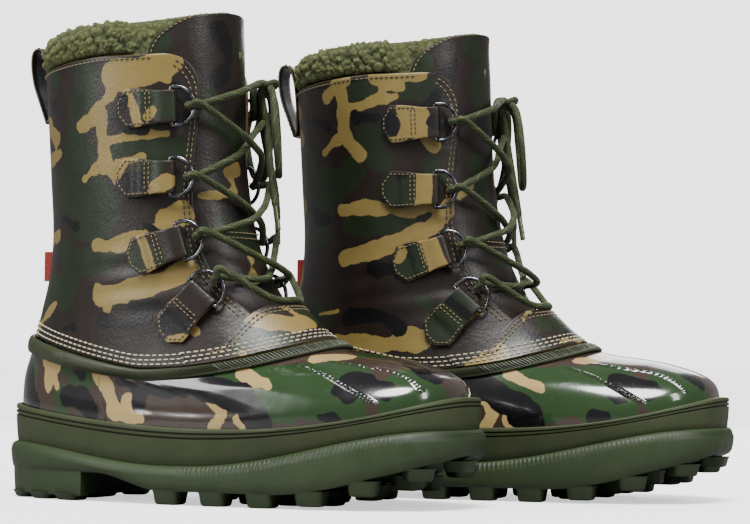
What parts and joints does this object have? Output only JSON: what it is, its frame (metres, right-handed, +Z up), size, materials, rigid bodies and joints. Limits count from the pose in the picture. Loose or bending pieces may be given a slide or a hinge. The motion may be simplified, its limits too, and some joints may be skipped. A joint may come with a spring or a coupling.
{
  "type": "insulated hunting boots",
  "caption": "Pair of insulated pac boots: lugged rubber shells, laced camouflage leather uppers with D-rings, fleece-cuffed liners.",
  "frame": {"origin": "on the floor under the middle of the pair's box", "axes": "+X the way the toes point, +Z up, the right boot on the -Y side"},
  "size_m": [0.4228, 0.2816, 0.3037],
  "materials": {
    "sole_rubber": "matt moulded rubber",
    "camo_rubber": "glossy printed rubber in four-colour woodland camouflage",
    "camo_leather": "smooth coated leather in four-colour woodland camouflage",
    "fleece": "curly sherpa pile",
    "felt": "dense wool felt",
    "lace_cord": "round braided cord",
    "ring_steel": "dark nickel wire",
    "tape": "woven tape"
  },
  "bodies": {
    "right_boot": {"footbed_right": "felt", "lace_right": "lace_cord", "liner_cuff_right": "fleece", "liner_right": "felt", "outsole_right": "sole_rubber", "quarter_inner_right": "camo_leather", "quarter_outer_right": "camo_leather", "ring_tab_inner_1_right": "camo_leather", "ring_tab_inner_2_right": "camo_leather", "ring_tab_inner_3_right": "camo_leather", "ring_tab_inner_4_right": "camo_leather", "ring_tab_outer_1_right": "camo_leather", "ring_tab_outer_2_right": "camo_leather", "ring_tab_outer_3_right": "camo_leather", "ring_tab_outer_4_right": "camo_leather", "rubber_shell_right": "camo_rubber", "shell_rim_right": "sole_rubber", "side_band_right": "sole_rubber", "side_tape_right": "tape", "tongue_right": "camo_leather", "vamp_right": "camo_leather"},
    "left_boot": {"footbed_left": "felt", "lace_left": "lace_cord", "liner_cuff_left": "fleece", "liner_left": "felt", "outsole_left": "sole_rubber", "quarter_inner_left": "camo_leather", "quarter_outer_left": "camo_leather", "ring_tab_inner_1_left": "camo_leather", "ring_tab_inner_2_left": "camo_leather", "ring_tab_inner_3_left": "camo_leather", "ring_tab_inner_4_left": "camo_leather", "ring_tab_outer_1_left": "camo_leather", "ring_tab_outer_2_left": "camo_leather", "ring_tab_outer_3_left": "camo_leather", "ring_tab_outer_4_left": "camo_leather", "rubber_shell_left": "camo_rubber", "shell_rim_left": "sole_rubber", "side_band_left": "sole_rubber", "side_tape_left": "tape", "tongue_left": "camo_leather", "vamp_left": "camo_leather"},
    "d_ring_outer_1_right": {"d_ring_outer_1_right": "ring_steel"},
    "d_ring_outer_2_right": {"d_ring_outer_2_right": "ring_steel"},
    "d_ring_outer_3_right": {"d_ring_outer_3_right": "ring_steel"},
    "d_ring_outer_4_right": {"d_ring_outer_4_right": "ring_steel"},
    "d_ring_inner_1_right": {"d_ring_inner_1_right": "ring_steel"},
    "d_ring_inner_2_right": {"d_ring_inner_2_right": "ring_steel"},
    "d_ring_inner_3_right": {"d_ring_inner_3_right": "ring_steel"},
    "d_ring_inner_4_right": {"d_ring_inner_4_right": "ring_steel"},
    "heel_loop_right": {"heel_loop_right": "camo_leather"},
    "d_ring_outer_1_left": {"d_ring_outer_1_left": "ring_steel"},
    "d_ring_outer_2_left": {"d_ring_outer_2_left": "ring_steel"},
    "d_ring_outer_3_left": {"d_ring_outer_3_left": "ring_steel"},
    "d_ring_outer_4_left": {"d_ring_outer_4_left": "ring_steel"},
    "d_ring_inner_1_left": {"d_ring_inner_1_left": "ring_steel"},
    "d_ring_inner_2_left": {"d_ring_inner_2_left": "ring_steel"},
    "d_ring_inner_3_left": {"d_ring_inner_3_left": "ring_steel"},
    "d_ring_inner_4_left": {"d_ring_inner_4_left": "ring_steel"},
    "heel_loop_left": {"heel_loop_left": "camo_leather"}
  },
  "joints": [
    {"name": "left_boot_lift", "type": "slide", "parent": "right_boot", "child": "left_boot", "axis": [0, 0, 1], "range_m": [0, 0.3]},
    {"name": "d_ring_outer_1_right_pivot", "type": "hinge", "parent": "right_boot", "child": "d_ring_outer_1_right", "pos_m": [-0.07787, -0.12626, 0.24252], "axis": [0.0427, 0.0184, -0.9989], "range_deg": [-6, 12], "deforming": ["lace_right"]},
    {"name": "d_ring_outer_2_right_pivot", "type": "hinge", "parent": "right_boot", "child": "d_ring_outer_2_right", "pos_m": [-0.07781, -0.12685, 0.19912], "axis": [0.0254, -0.0205, -0.9995], "range_deg": [-6, 12]},
    {"name": "d_ring_outer_3_right_pivot", "type": "hinge", "parent": "right_boot", "child": "d_ring_outer_3_right", "pos_m": [-0.07086, -0.12612, 0.15944], "axis": [0.3102, 0.0259, -0.9503], "range_deg": [-6, 12]},
    {"name": "d_ring_outer_4_right_pivot", "type": "hinge", "parent": "right_boot", "child": "d_ring_outer_4_right", "pos_m": [-0.05549, -0.12497, 0.12783], "axis": [0.7213, 0.165, -0.6727], "range_deg": [-6, 12]},
    {"name": "d_ring_inner_1_right_pivot", "type": "hinge", "parent": "right_boot", "child": "d_ring_inner_1_right", "pos_m": [-0.07787, -0.03354, 0.24252], "axis": [-0.0427, 0.0184, 0.9989], "range_deg": [-6, 12]},
    {"name": "d_ring_inner_2_right_pivot", "type": "hinge", "parent": "right_boot", "child": "d_ring_inner_2_right", "pos_m": [-0.07781, -0.03295, 0.19912], "axis": [-0.0254, -0.0205, 0.9995], "range_deg": [-6, 12]},
    {"name": "d_ring_inner_3_right_pivot", "type": "hinge", "parent": "right_boot", "child": "d_ring_inner_3_right", "pos_m": [-0.07086, -0.03368, 0.15944], "axis": [-0.3102, 0.0259, 0.9503], "range_deg": [-6, 12]},
    {"name": "d_ring_inner_4_right_pivot", "type": "hinge", "parent": "right_boot", "child": "d_ring_inner_4_right", "pos_m": [-0.05549, -0.03483, 0.12783], "axis": [-0.7213, 0.165, 0.6727], "range_deg": [-6, 12]},
    {"name": "heel_loop_right_flex", "type": "hinge", "parent": "right_boot", "child": "heel_loop_right", "pos_m": [-0.18779, -0.0799, 0.238], "axis": [0, -1, 0], "range_deg": [0, 30], "stiffness_Nm_per_rad": 0.05},
    {"name": "d_ring_outer_1_left_pivot", "type": "hinge", "parent": "left_boot", "child": "d_ring_outer_1_left", "pos_m": [0.02358, 0.11793, 0.24252], "axis": [-0.0442, 0.0146, 0.9989], "range_deg": [-6, 12], "deforming": ["lace_left"]},
    {"name": "d_ring_outer_2_left_pivot", "type": "hinge", "parent": "left_boot", "child": "d_ring_outer_2_left", "pos_m": [0.02358, 0.11852, 0.19912], "axis": [-0.0235, -0.0226, 0.9995], "range_deg": [-6, 12]},
    {"name": "d_ring_outer_3_left_pivot", "type": "hinge", "parent": "left_boot", "child": "d_ring_outer_3_left", "pos_m": [0.03058, 0.11841, 0.15944], "axis": [-0.3113, -0.0012, 0.9503], "range_deg": [-6, 12]},
    {"name": "d_ring_outer_4_left_pivot", "type": "hinge", "parent": "left_boot", "child": "d_ring_outer_4_left", "pos_m": [0.04599, 0.1186, 0.12783], "axis": [-0.733, 0.1015, 0.6727], "range_deg": [-6, 12]},
    {"name": "d_ring_inner_1_left_pivot", "type": "hinge", "parent": "left_boot", "child": "d_ring_inner_1_left", "pos_m": [0.03166, 0.02556, 0.24252], "axis": [0.041, 0.0221, -0.9989], "range_deg": [-6, 12]},
    {"name": "d_ring_inner_2_left_pivot", "type": "hinge", "parent": "left_boot", "child": "d_ring_inner_2_left", "pos_m": [0.03177, 0.02498, 0.19912], "axis": [0.027, -0.0182, -0.9995], "range_deg": [-6, 12]},
    {"name": "d_ring_inner_3_left_pivot", "type": "hinge", "parent": "left_boot", "child": "d_ring_inner_3_left", "pos_m": [0.03864, 0.02631, 0.15944], "axis": [0.3067, 0.0528, -0.9503], "range_deg": [-6, 12]},
    {"name": "d_ring_inner_4_left_pivot", "type": "hinge", "parent": "left_boot", "child": "d_ring_inner_4_left", "pos_m": [0.05384, 0.0288, 0.12783], "axis": [0.7042, 0.2272, -0.6727], "range_deg": [-6, 12]},
    {"name": "heel_loop_left_flex", "type": "hinge", "parent": "left_boot", "child": "heel_loop_left", "pos_m": [-0.08188, 0.06217, 0.238], "axis": [0.0872, -0.9962, 0], "range_deg": [0, 30], "stiffness_Nm_per_rad": 0.05}
  ]
}
